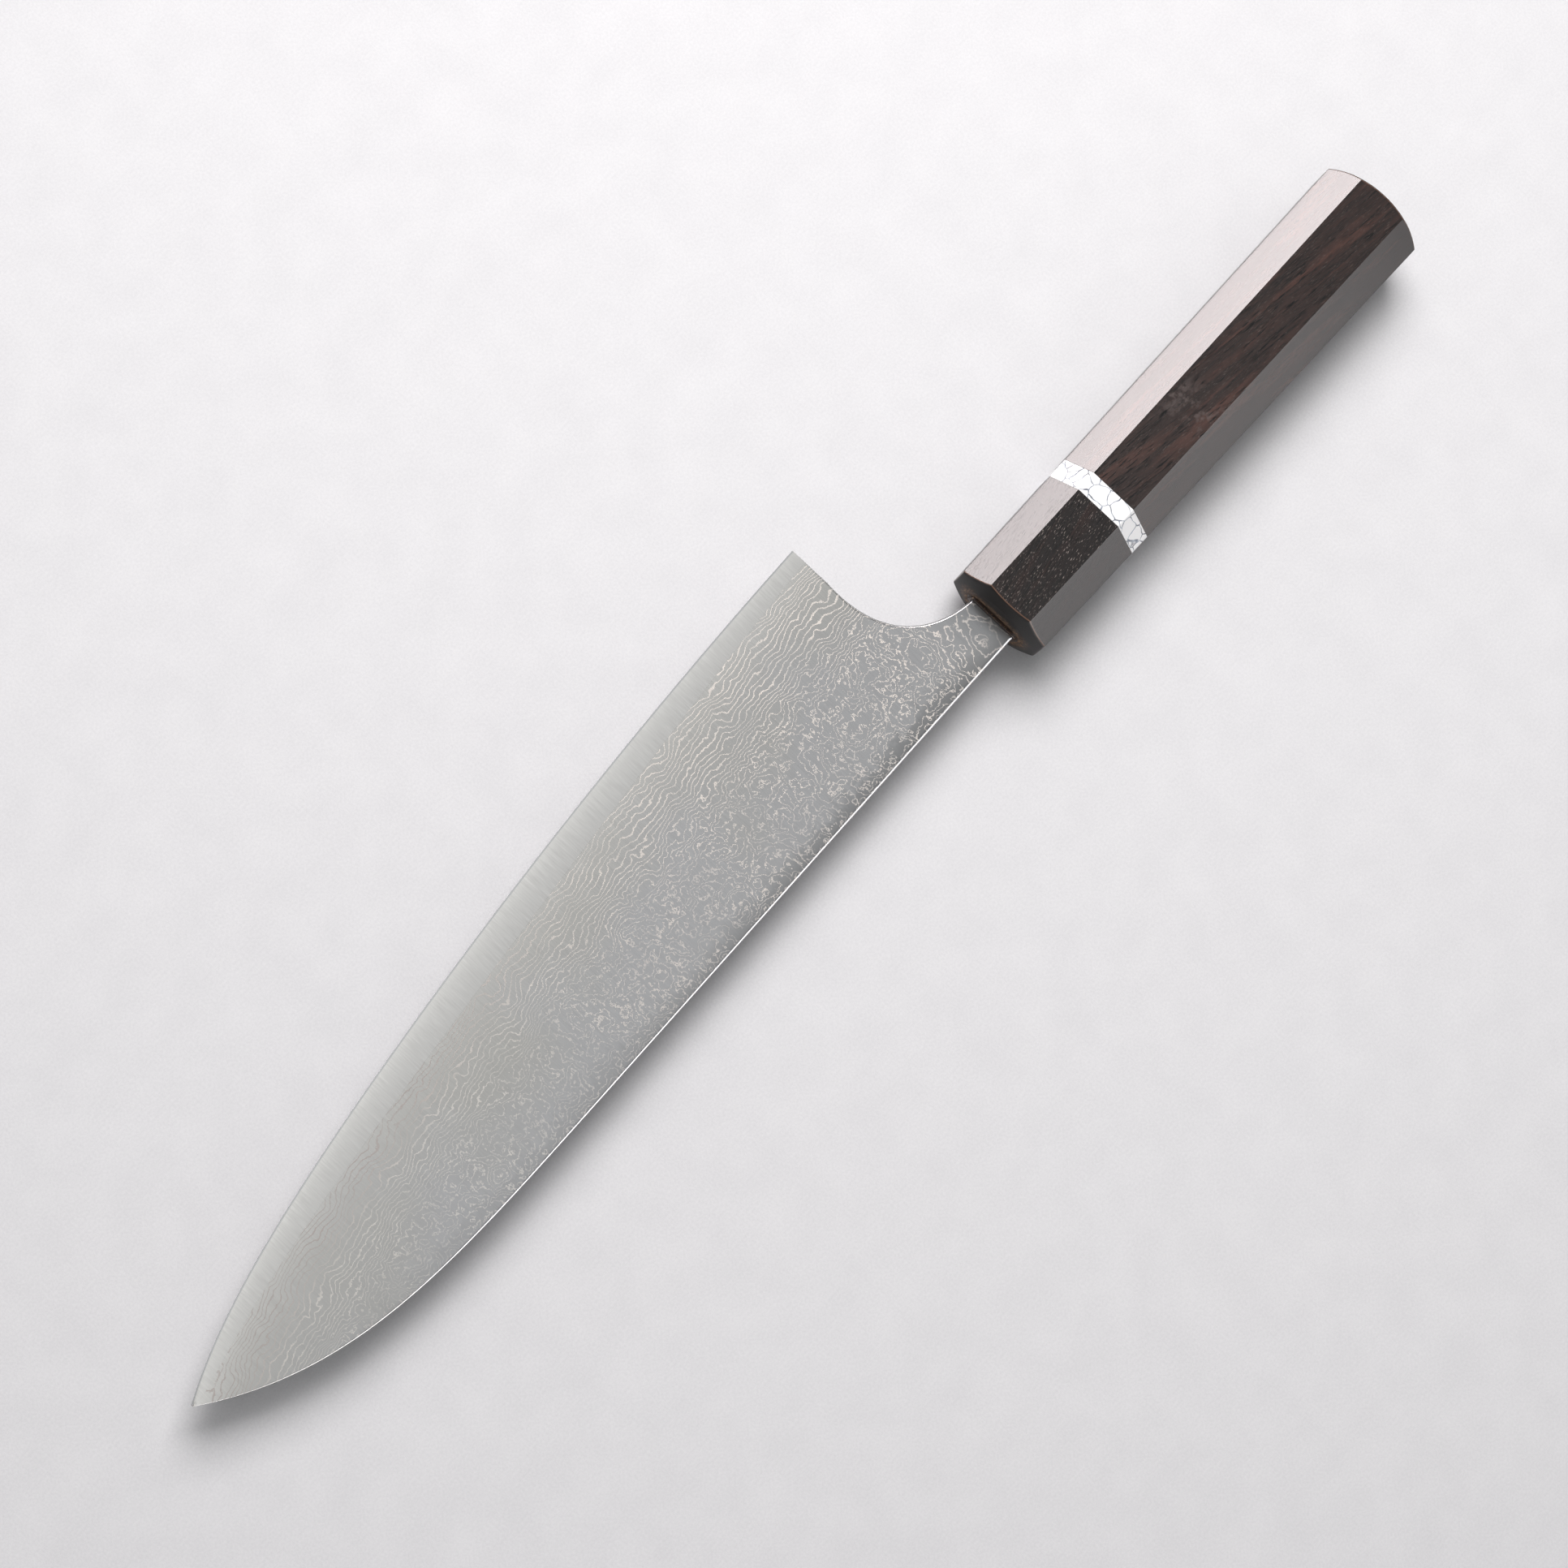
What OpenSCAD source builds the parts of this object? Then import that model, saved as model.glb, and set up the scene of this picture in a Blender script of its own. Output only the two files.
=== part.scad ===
// Japanese chef knife (gyuto): a three-layer blade with a hidden stick tang in an
// octagonal wooden handle with a ferrule and a stone spacer ring.
//
// The knife lies on its left side. +X runs from the handle to the tip, +Y towards
// the spine and +Z out of the right face. The design is drawn with x = 0 at the
// front corners of the ferrule and with the handle's axis on y = z = 0, then placed
// so that the origin is at the bottom centre of the whole knife.

/* [Blade outline] */
// Length of the cutting edge, heel to tip in a straight line
edge_length = 240; // [210:1:270]
// How far the heel stands in front of the ferrule's front corners
heel_x = 23; // [20:0.5:30]
// How far the heel drops below the handle's axis
heel_drop = 45.7; // [38:0.1:50]
// How far the tip lies below the handle's axis
tip_drop = 12.9; // [6:0.1:18]
// Height of the spine above the handle's axis at the ferrule
neck_top = 6.2; // [5:0.1:8]
// Depth of the neck's underside below the handle's axis at the ferrule
neck_bottom = 7; // [5:0.1:8]
// Rise of the spine per millimetre of length
spine_rise = 0.0121; // [0:0.0001:0.02]
// Where the spine starts to fall towards the tip
spine_fall_x = 141; // [100:1:180]
// Power of the spine's fall: higher keeps it straight for longer
spine_fall_power = 4.2; // [2:0.1:6]
// Height above the heel at which the straight choil starts to curve
choil_straight = 11.3; // [5:0.1:20]

/* [Blade section] */
// Thickness of the spine at the neck
spine_neck = 2.3; // [1.8:0.1:4]
// Thickness of the spine at the tip
spine_tip = 0.5; // [0.3:0.05:1]
// Power of the convex grind between edge and spine
grind_power = 1.7; // [1.2:0.1:2.5]
// Width of the sharpened bevel on each side of the edge
bevel_width = 0.55; // [0.3:0.05:1.5]
// Half the thickness behind the sharpened bevel
bevel_half = 0.11; // [0.08:0.01:0.25]
// Radius of the eased corners of the spine
spine_round = 0.5; // [0.2:0.05:0.6]
// Width of the bare core steel along the edge at the heel
strip_heel = 4.5; // [3:0.1:10]
// Extra width of the bare core steel at mid-blade
strip_belly = 4; // [0:0.1:8]

/* [Tang] */
// Length of the tang behind the ferrule's front corners
tang_length = 102; // [80:1:115]
// Height of the tang at its rear end
tang_end_height = 6; // [4:0.5:9]

/* [Handle] */
// Width of the octagon along Y at the ferrule
handle_front_w = 26; // [22:0.1:28]
// Width of the octagon along Y at the butt
handle_butt_w = 28.7; // [24:0.1:30]
// Height of the octagon along Z at the ferrule
handle_front_h = 24.6; // [20:0.1:27]
// Height of the octagon along Z at the butt
handle_butt_h = 27.2; // [22:0.1:29]
// Leg of the octagon's corner bevels at the ferrule
octagon_leg_front = 6.8; // [5:0.1:8]
// Leg of the octagon's corner bevels at the butt
octagon_leg_butt = 7.5; // [5:0.1:9]
// Length of the handle's flats, from the front corners to the butt corners
handle_length = 138.6; // [125:0.1:150]
// Radius of the domed butt
butt_dome_radius = 28; // [22:1:60]
// Length of the ferrule's flats
ferrule_length = 32.1; // [25:0.1:40]
// Thickness of the spacer ring
ring_thickness = 5.6; // [3:0.1:8]
// Radius of the ferrule's flat front face, inside its turned chamfer
front_face_radius = 9.1; // [8:0.1:11]
// Depth of the turned chamfer from the front face to the octagon's corners
front_chamfer_depth = 1.6; // [1:0.1:2.5]

/* [Joinery] */
// Radius of the dowel that joins ferrule, ring and body
dowel_radius = 8; // [7:0.1:9]
// Distance from the ferrule's front corners to the dowel's front end
dowel_front = 12; // [8:0.5:20]
// Length of the dowel
dowel_length = 100; // [95:1:110]
// Width of the slot in the ferrule's mouth, along Y
mouth_width = 16; // [15:0.1:17]
// Height of the slot in the ferrule's mouth, along Z
mouth_height = 6.4; // [5:0.1:8]
// How far the sealant stands out of the ferrule's mouth
sealant_proud = 0.5; // [0.2:0.1:1]

/* [Hidden] */

lip = 0.03;             // step where a layer of steel thins out to nothing
fit_gap = 0.02;         // gap between the tang and what is cast or cut round it
choil_lip = 0.25;       // how far the core stands out below the cladding along the choil
reach = 200;            // larger than any part of the handle

tip_x = heel_x + sqrt(pow(edge_length, 2) - pow(heel_drop - tip_drop, 2));
mouth_x = front_chamfer_depth;
choil_y = choil_straight - heel_drop;
edge_end = 0.2;         // half the height of the tip's blunt end
edge_shares = [[0.185, 1], [0.615, 2], [0.2, 11]];   // [share of the rise, power]
spine_fall = neck_top + spine_rise * tip_x + tip_drop - edge_end;

// Height of the cutting edge at x; behind the heel it stays level.
function edge_y(x) = let (u = max(0, min(1, (x - heel_x) / (tip_x - heel_x))))
    -heel_drop + (heel_drop - tip_drop - edge_end)
    * (edge_shares[0][0] * pow(u, edge_shares[0][1])
       + edge_shares[1][0] * pow(u, edge_shares[1][1])
       + edge_shares[2][0] * pow(u, edge_shares[2][1]));

// Height of the spine at x.
function spine_y(x) = let (q = max(0, (x - spine_fall_x) / (tip_x - spine_fall_x)))
    neck_top + spine_rise * max(0, x) - spine_fall * pow(q, spine_fall_power);

// Thickness of the spine at x, thinning out towards the tip.
function spine_t(x) = let (u = max(0, min(1, x / tip_x)))
    spine_tip + (spine_neck - spine_tip) * (1 - u * u);

// Half the blade's thickness at a point of its outline.
function half_t(x, y) = let (
        v = max(0, y - edge_y(x)),
        height = max(bevel_width * 1.5, spine_y(x) - edge_y(x)),
        w = max(0, min(1, (v - bevel_width) / (height - bevel_width))),
        full = spine_t(x) / 2)
    v < bevel_width ? lip / 2 + (bevel_half - lip / 2) * v / bevel_width
                    : bevel_half + (full - bevel_half) * (1 - pow(1 - w, grind_power));

// Width of the bare core steel at x, measured up from the edge.
function strip_w(x) = let (
        u = max(0, min(1, (x - heel_x) / (tip_x - heel_x))),
        height = spine_y(x) - edge_y(x))
    (strip_heel + strip_belly * sin(180 * u)) * height / (height + 6);

// Half the core's thickness under the cladding.
function core_t(x) = half_t(x, edge_y(x) + strip_w(x)) - lip;

function bezier(p, t) = pow(1 - t, 3) * p[0] + 3 * pow(1 - t, 2) * t * p[1]
    + 3 * (1 - t) * t * t * p[2] + pow(t, 3) * p[3];

// Curve of the choil, from the neck's underside to the straight above the heel.
choil = [[mouth_x, -neck_bottom], [13.4, -7.9], [heel_x + 1.7, choil_y + 18.9], [heel_x, choil_y]];

// A station is a line across the blade: [lower end, upper end].
function tang_station(t) = let (x = mouth_x - (1 - t) * (tang_length + mouth_x),
                                s = max(0, min(1, -x / tang_length)))
    [[x, -neck_bottom + s * (neck_bottom - tang_end_height / 2)],
     [x, neck_top - s * (neck_top - tang_end_height / 2)]];
choil_top = 50;         // where the station at the end of the choil's curve meets the spine
heel_top = 85;          // where the heel's station meets the spine
function choil_station(t) = let (x = mouth_x + t * (choil_top - mouth_x))
    [bezier(choil, t), [x, spine_y(x)]];
function heel_station(t) = let (x = choil_top + t * (heel_top - choil_top))
    [[heel_x, choil_y - t * choil_straight], [x, spine_y(x)]];
function edge_station(t) = let (
        u = sin(84 * t) / sin(84),      // stations stand closer together towards the tip
        x = heel_x + (tip_x - heel_x) * u,
        top = x + (heel_top - heel_x) * pow(1 - u, 1.5))
    [[x, edge_y(x)], [top, spine_y(top)]];

tang_steps = 6;
choil_steps = 14;
heel_steps = 3;
edge_steps = 56;
stations = concat(
    [for (i = [0 : tang_steps - 1]) tang_station(i / tang_steps)],
    [for (i = [0 : choil_steps - 1]) choil_station(i / choil_steps)],
    [for (i = [0 : heel_steps - 1]) heel_station(i / heel_steps)],
    [for (i = [0 : edge_steps]) edge_station(i / edge_steps)]);
// The cladding stops just short of the tip, where it has thinned out.
clad_stations = [for (i = [0 : len(stations) - 3]) stations[i]];

// A point on a station, at a height above its lower end.
function along(st, rise) = st[0] + (st[1] - st[0]) * rise / (st[1][1] - st[0][1]);
function height_of(st) = st[1][1] - st[0][1];

// Height on a station at which it reaches the top of the bare core, found by repeated aim.
function strip_top(st, rise = 0, tries = 4) = let (p = along(st, rise))
    tries == 0 ? rise : strip_top(st, edge_y(p[0]) + strip_w(p[0]) - st[0][1], tries - 1);

// Height on a station at which the cladding starts.
function clad_start(st) = max(choil_lip, min(height_of(st) * 0.6, strip_top(st)));

// Radius of the eased spine: it takes part of the cladding's thickness, and little in the handle.
function ease(st) = let (spare = half_t(st[1][0], st[1][1]) - core_t(st[1][0]))
    st[0][0] < mouth_x + 0.1 ? spine_round / 4 : min(spine_round, 0.6 * spare);

end_rise = 0.04;        // how far the middle of a layer's end stands out
function middle(ring) = [for (axis = [0 : 2]) sum([for (p = ring) p[axis]]) / len(ring)];
function sum(values, i = 0) = i < len(values) ? values[i] + sum(values, i + 1) : 0;

// Rings of points round each layer, one ring for each station.
function core_ring(st) = let (
        start = clad_start(st),
        low = [for (f = [0, 0.14, 0.5, 1]) along(st, start * f)],
        thin = [for (p = low) min(half_t(p[0], p[1]), core_t(p[0]) + lip)],
        top = along(st, height_of(st)),
        c0 = core_t(low[3][0]),
        c1 = core_t(top[0]))
    concat([for (i = [0 : 3]) [low[i][0], low[i][1], thin[i]]],
           [[low[3][0], low[3][1], c0], [top[0], top[1], c1],
            [top[0], top[1], -c1], [low[3][0], low[3][1], -c0]],
           [for (i = [3 : -1 : 0]) [low[i][0], low[i][1], -thin[i]]]);

grind_steps = 9;
round_steps = 3;
function clad_ring(st) = let (
        start = clad_start(st),
        r = ease(st),
        flat_top = height_of(st) - r,
        face = [for (i = [0 : grind_steps]) along(st, start + (flat_top - start) * i / grind_steps)],
        first = face[0],
        top = along(st, height_of(st)),
        z_top = half_t(top[0], top[1]))
    concat([[first[0], first[1], core_t(first[0])]],
           [for (p = face) [p[0], p[1], max(half_t(p[0], p[1]), core_t(p[0]) + lip)]],
           [for (i = [1 : round_steps]) let (a = 90 * i / round_steps, p = along(st, flat_top + r * sin(a)))
               [p[0], p[1], z_top - r + r * cos(a)]],
           [[top[0], top[1], core_t(top[0])]]);

// A closed solid through rings that have the same number of points. Each end is a fan of
// triangles round a middle point, which stands out a little.
module loft(rings) {
    n = len(rings[0]);
    last = len(rings) - 1;
    first_middle = len(rings) * n;
    polyhedron(
        points = concat([for (r = rings) each r],
                        [middle(rings[0]) - [end_rise, 0, 0], middle(rings[last]) + [end_rise, 0, 0]]),
        faces = concat(
            [for (j = [0 : n - 1]) [first_middle, (j + 1) % n, j]],
            [for (i = [0 : last - 1], j = [0 : n - 1]) let (k = (j + 1) % n)
                each [[i * n + j, (i + 1) * n + k, (i + 1) * n + j], [i * n + j, i * n + k, (i + 1) * n + k]]],
            [for (j = [0 : n - 1]) [first_middle + 1, last * n + j, last * n + (j + 1) % n]]));
}

// ---- handle ----

ferrule_back = -ferrule_length;
ring_back = -ferrule_length - ring_thickness;
butt_x = -handle_length;
dome_corner = norm([handle_butt_h / 2, handle_butt_w / 2 - octagon_leg_butt]);
dome_centre = butt_x + sqrt(pow(butt_dome_radius, 2) - pow(dome_corner, 2));
dome_top = dome_centre - butt_dome_radius;
dowel_back = -dowel_front - dowel_length;

// A slab between two planes that spread towards the butt, turned about X.
module slab(front_half, butt_half, angle) {
    slope = (butt_half - front_half) / handle_length;
    far = 20;           // past both ends of the handle
    x0 = butt_x - far;
    rotate([angle, 0, 0])
        translate([0, 0, -reach / 2])
            linear_extrude(height = reach)
                polygon([[far, front_half - slope * far], [x0, butt_half + slope * far],
                         [x0, -butt_half - slope * far], [far, -front_half + slope * far]]);
}

// The handle's tapered octagon.
module octagon() {
    corner_front = (handle_front_w + handle_front_h) / 2 - octagon_leg_front;
    corner_butt = (handle_butt_w + handle_butt_h) / 2 - octagon_leg_butt;
    intersection() {
        slab(handle_front_w / 2, handle_butt_w / 2, 0);
        slab(handle_front_h / 2, handle_butt_h / 2, 90);
        slab(corner_front / sqrt(2), corner_butt / sqrt(2), 45);
        slab(corner_front / sqrt(2), corner_butt / sqrt(2), -45);
    }
}

// A stretch of the octagon between two places along X.
module octagon_piece(from_x, to_x) {
    intersection() {
        octagon();
        translate([from_x, -reach / 2, -reach / 2]) cube([to_x - from_x, reach, reach]);
    }
}

// A solid turned about the X axis, from [x, radius] points.
module turned(points) {
    rotate([0, 90, 0])
        rotate_extrude($fn = 96)
            polygon([for (p = points) [p[1], p[0]]]);
}

// A slot with round ends, along X, centred on the neck of the blade.
module round_slot(width, height, from_x, to_x) {
    translate([from_x, (neck_top - neck_bottom) / 2, 0]) rotate([90, 0, 90])
        linear_extrude(height = to_x - from_x)
            union() {
                square([width - height, height], center = true);
                for (side = [-1, 1])
                    translate([side * (width - height) / 2, 0]) circle(d = height, $fn = 48);
            }
}

// A round bore along X.
module bore(from_x, to_x) {
    translate([from_x, 0, 0]) rotate([0, 90, 0])
        cylinder(h = to_x - from_x, r = dowel_radius, $fn = 64);
}

// The space that the tang and the neck take, with a gap all round.
module tang_space(gap) {
    high = spine_neck + 2 * gap;
    end_y = tang_end_height / 2 + gap;
    low = -neck_bottom - gap;
    top = neck_top + gap;
    rear = -tang_length - gap;
    translate([0, 0, -high / 2])
        linear_extrude(height = high)
            polygon([[rear, -end_y], [0, low], [reach, low], [reach, top], [0, top], [rear, end_y]]);
}

// Where the dome crosses the middle of a flat that lies this far from the axis.
function flat_end(half) = dome_centre - sqrt(pow(butt_dome_radius, 2) - half * half);

// Half the octagon's size at x, along Y and along Z.
function half_w(x) = (handle_front_w - (handle_butt_w - handle_front_w) * x / handle_length) / 2;
function half_h(x) = (handle_front_h - (handle_butt_h - handle_front_h) * x / handle_length) / 2;

// Moves the knife so that the origin is at its bottom centre.
module place() {
    widest = half_w(flat_end(handle_butt_w / 2));
    lowest = half_h(flat_end(handle_butt_h / 2));
    translate([-(tip_x + end_rise + dome_top) / 2, (heel_drop - widest) / 2, lowest]) children();
}

// ---- the pieces ----

// Hard core of the blade and tang, bare along the cutting edge.
module blade_core() {
    color([0.74, 0.74, 0.72]) loft([for (st = stations) core_ring(st)]);
}

// Layered steel on the right of the core.
module cladding_right() {
    color([0.62, 0.63, 0.62]) loft([for (st = clad_stations) clad_ring(st)]);
}

// Layered steel on the left of the core.
module cladding_left() {
    color([0.62, 0.63, 0.62]) mirror([0, 0, 1]) loft([for (st = clad_stations) clad_ring(st)]);
}

// Resin that fills the ferrule's mouth round the neck of the blade.
module tang_sealant() {
    color([0.30, 0.20, 0.12])
        difference() {
            union() {
                round_slot(mouth_width, mouth_height, -dowel_front, mouth_x);
                round_slot(mouth_width - 2 * sealant_proud, mouth_height - 2 * sealant_proud,
                           mouth_x - 1, mouth_x + sealant_proud);
            }
            tang_space(fit_gap);
        }
}

// Ebony collar with a turned front.
module ferrule() {
    corner_r = norm([handle_front_h / 2, handle_front_w / 2 - octagon_leg_front]);
    slope = front_chamfer_depth / (corner_r - front_face_radius);
    outer_r = corner_r + 3;
    color([0.16, 0.13, 0.12])
        difference() {
            intersection() {
                octagon_piece(ferrule_back, mouth_x);
                turned([[ferrule_back, 0], [ferrule_back, outer_r], [-3 * slope, outer_r],
                        [mouth_x, front_face_radius], [mouth_x, 0]]);
            }
            round_slot(mouth_width, mouth_height, -dowel_front - 1, mouth_x + 1);
            bore(ferrule_back - 1, -dowel_front);
        }
}

// White stone ring between ferrule and body.
module spacer_ring() {
    color([0.93, 0.94, 0.94])
        difference() {
            octagon_piece(ring_back, ferrule_back);
            bore(ring_back - 1, ferrule_back + 1);
        }
}

// Long ebony part of the handle, with a domed butt and a blind bore for the dowel.
module handle_body() {
    inside = 5;         // the round bar starts inside the dome's sphere
    color([0.20, 0.15, 0.13])
        difference() {
            intersection() {
                octagon_piece(dome_top - 1, ring_back);
                translate([dome_centre, 0, 0])
                    union() {
                        sphere(r = butt_dome_radius, $fn = 96);
                        translate([-inside, 0, 0]) rotate([0, 90, 0])
                            cylinder(h = reach, r = butt_dome_radius * 0.75, $fn = 96);
                    }
            }
            bore(dowel_back - 1, ring_back + 1);
        }
}

// Hardwood dowel, slotted for the tang.
module dowel() {
    color([0.76, 0.62, 0.42])
        difference() {
            bore(dowel_back, -dowel_front);
            tang_space(fit_gap);
        }
}

place() blade_core();
place() cladding_right();
place() cladding_left();
place() tang_sealant();
place() ferrule();
place() spacer_ring();
place() handle_body();
place() dowel();
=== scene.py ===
"""Looks for the chef knife: finer blade layers, materials, floor, soft light and camera."""

import math

import bmesh
import bpy
import numpy as np
from mathutils import Matrix, Vector


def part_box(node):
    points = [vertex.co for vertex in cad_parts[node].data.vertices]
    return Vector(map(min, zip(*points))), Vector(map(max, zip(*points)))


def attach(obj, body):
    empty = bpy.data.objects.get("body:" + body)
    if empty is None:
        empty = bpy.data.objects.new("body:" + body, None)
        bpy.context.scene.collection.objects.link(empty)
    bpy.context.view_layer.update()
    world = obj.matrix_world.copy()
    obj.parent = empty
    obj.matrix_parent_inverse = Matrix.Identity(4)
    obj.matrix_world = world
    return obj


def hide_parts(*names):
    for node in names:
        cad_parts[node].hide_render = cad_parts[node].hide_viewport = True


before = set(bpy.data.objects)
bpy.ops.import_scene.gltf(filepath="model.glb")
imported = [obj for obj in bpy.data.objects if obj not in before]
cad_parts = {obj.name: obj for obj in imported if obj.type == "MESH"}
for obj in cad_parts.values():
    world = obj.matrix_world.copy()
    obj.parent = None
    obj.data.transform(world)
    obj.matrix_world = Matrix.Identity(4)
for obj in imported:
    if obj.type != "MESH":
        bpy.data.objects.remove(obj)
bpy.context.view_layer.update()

MM = 0.001
BODY = "root"

# ---------------------------------------------------------------- the knife's own frame
# Millimetres, with the same values and curves as the CAD. X is 0 at the ferrule's front
# corners and grows to the tip, Y is 0 on the handle's axis and grows to the spine, Z is 0
# in the middle of the blade's thickness.
FRONT_CHAMFER = 1.6
ferrule_lo, ferrule_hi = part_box("ferrule")
ORIGIN = Vector((ferrule_hi.x - FRONT_CHAMFER * MM,
                 (ferrule_lo.y + ferrule_hi.y) / 2,
                 (ferrule_lo.z + ferrule_hi.z) / 2))

# the blade's outline
EDGE_LENGTH = 240
HEEL_X = 23
HEEL_DROP = 45.7
TIP_DROP = 12.9
EDGE_END = 0.2
NECK_TOP = 6.2
NECK_BOTTOM = 7
SPINE_RISE = 0.0121
SPINE_FALL_X = 141
SPINE_FALL_POWER = 4.2
CHOIL_STRAIGHT = 11.3
# the blade's section
SPINE_NECK = 2.3
SPINE_TIP = 0.5
GRIND_POWER = 1.7
BEVEL_WIDTH = 0.55
BEVEL_HALF = 0.11
STRIP_HEEL = 4.5
STRIP_BELLY = 4
STRIP_FADE = 6
LIP = 0.03
# the tang
TANG_LENGTH = 102
TANG_END_HEIGHT = 6
# values that follow
TIP_X = HEEL_X + math.sqrt(EDGE_LENGTH ** 2 - (HEEL_DROP - TIP_DROP) ** 2)
EDGE_RISE = HEEL_DROP - TIP_DROP - EDGE_END
EDGE_SHARES = ((0.185, 1), (0.615, 2), (0.2, 11))
SPINE_FALL = NECK_TOP + SPINE_RISE * TIP_X + TIP_DROP - EDGE_END


def edge_y(x):
    """Height of the cutting edge at x."""
    u = np.clip((x - HEEL_X) / (TIP_X - HEEL_X), 0, 1)
    return -HEEL_DROP + EDGE_RISE * sum(share * u ** power for share, power in EDGE_SHARES)


def spine_y(x):
    """Height of the spine at x."""
    q = np.clip((x - SPINE_FALL_X) / (TIP_X - SPINE_FALL_X), 0, None)
    return NECK_TOP + SPINE_RISE * np.clip(x, 0, None) - SPINE_FALL * q ** SPINE_FALL_POWER


def spine_t(x):
    """Thickness of the spine at x."""
    u = np.clip(x / TIP_X, 0, 1)
    return SPINE_TIP + (SPINE_NECK - SPINE_TIP) * (1 - u * u)


def half_t(x, y):
    """Half the blade's thickness at a point of its outline."""
    v = np.clip(y - edge_y(x), 0, None)
    height = np.maximum(BEVEL_WIDTH * 1.5, spine_y(x) - edge_y(x))
    w = np.clip((v - BEVEL_WIDTH) / (height - BEVEL_WIDTH), 0, 1)
    ground = BEVEL_HALF + (spine_t(x) / 2 - BEVEL_HALF) * (1 - (1 - w) ** GRIND_POWER)
    bevel = LIP / 2 + (BEVEL_HALF - LIP / 2) * v / BEVEL_WIDTH
    return np.where(v < BEVEL_WIDTH, bevel, ground)


def strip_w(x):
    """Width of the bare core steel at x."""
    u = np.clip((x - HEEL_X) / (TIP_X - HEEL_X), 0, 1)
    height = spine_y(x) - edge_y(x)
    return (STRIP_HEEL + STRIP_BELLY * np.sin(np.pi * u)) * height / (height + STRIP_FADE)


def core_t(x):
    """Half the core's thickness under the cladding."""
    return half_t(x, edge_y(x) + strip_w(x)) - LIP


# ---------------------------------------------------------------- blade layers
# how many stations lie along each stretch of the blade's lower outline
TANG_STEPS = 6
CHOIL_STEPS = 44
HEEL_STEPS = 10
EDGE_STEPS = 250
# where on the spine the stations of the choil and of the heel end
CHOIL_TOP = 50
HEEL_TOP = 85
# the choil's curve is pulled towards one point at the neck and one above the heel
CHOIL_NECK_PULL = (13.4, -7.9)
CHOIL_HEEL_PULL = (1.7, 18.9)
# how strongly the stations crowd towards the tip, and how fast they turn upright
TIP_CROWD = math.radians(84)
UPRIGHT_POWER = 1.5


def blade_stations():
    """Lines across the blade, from its lower outline to its spine: two arrays of [x, y] points."""
    low, top = [], []
    mouth = FRONT_CHAMFER
    for i in range(TANG_STEPS):
        x = mouth - (1 - i / TANG_STEPS) * (TANG_LENGTH + mouth)
        s = min(1, max(0, -x / TANG_LENGTH))
        low.append((x, -NECK_BOTTOM + s * (NECK_BOTTOM - TANG_END_HEIGHT / 2)))
        top.append((x, NECK_TOP - s * (NECK_TOP - TANG_END_HEIGHT / 2)))
    choil_y = CHOIL_STRAIGHT - HEEL_DROP
    heel_pull = (HEEL_X + CHOIL_HEEL_PULL[0], choil_y + CHOIL_HEEL_PULL[1])
    bend = [np.array(p) for p in ((mouth, -NECK_BOTTOM), CHOIL_NECK_PULL, heel_pull,
                                  (HEEL_X, choil_y))]
    for i in range(CHOIL_STEPS):
        t = i / CHOIL_STEPS
        low.append((1 - t) ** 3 * bend[0] + 3 * (1 - t) ** 2 * t * bend[1]
                   + 3 * (1 - t) * t * t * bend[2] + t ** 3 * bend[3])
        x = mouth + t * (CHOIL_TOP - mouth)
        top.append((x, spine_y(x)))
    for i in range(HEEL_STEPS):
        t = i / HEEL_STEPS
        low.append((HEEL_X, choil_y - t * CHOIL_STRAIGHT))
        x = CHOIL_TOP + t * (HEEL_TOP - CHOIL_TOP)
        top.append((x, spine_y(x)))
    for i in range(EDGE_STEPS + 1):
        u = math.sin(TIP_CROWD * i / EDGE_STEPS) / math.sin(TIP_CROWD)
        x = HEEL_X + (TIP_X - HEEL_X) * u
        low.append((x, edge_y(x)))
        x = x + (HEEL_TOP - HEEL_X) * (1 - u) ** UPRIGHT_POWER
        top.append((x, spine_y(x)))
    return np.array(low, float), np.array(top, float)


LOW, TOP = blade_stations()
EDGE_START = TANG_STEPS + CHOIL_STEPS + HEEL_STEPS
CHOIL_LIP = 0.25
STRIP_SHARE = 0.6
STRIP_PASSES = 6


def on_station(rise):
    """Points on every station at a height above its lower end."""
    share = rise / (TOP[:, 1] - LOW[:, 1])
    return LOW + (TOP - LOW) * share[:, None]


def strip_tops():
    """Height on every station at which the cladding starts. The width of the strip depends
    on x, and the stations lean, so the height is found in a few passes."""
    rise = np.zeros(len(LOW))
    for _ in range(STRIP_PASSES):
        p = on_station(rise)
        rise = edge_y(p[:, 0]) + strip_w(p[:, 0]) - LOW[:, 1]
    height = TOP[:, 1] - LOW[:, 1]
    return np.maximum(CHOIL_LIP, np.minimum(height * STRIP_SHARE, rise))


SHARP_ANGLE = math.radians(32)


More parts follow.
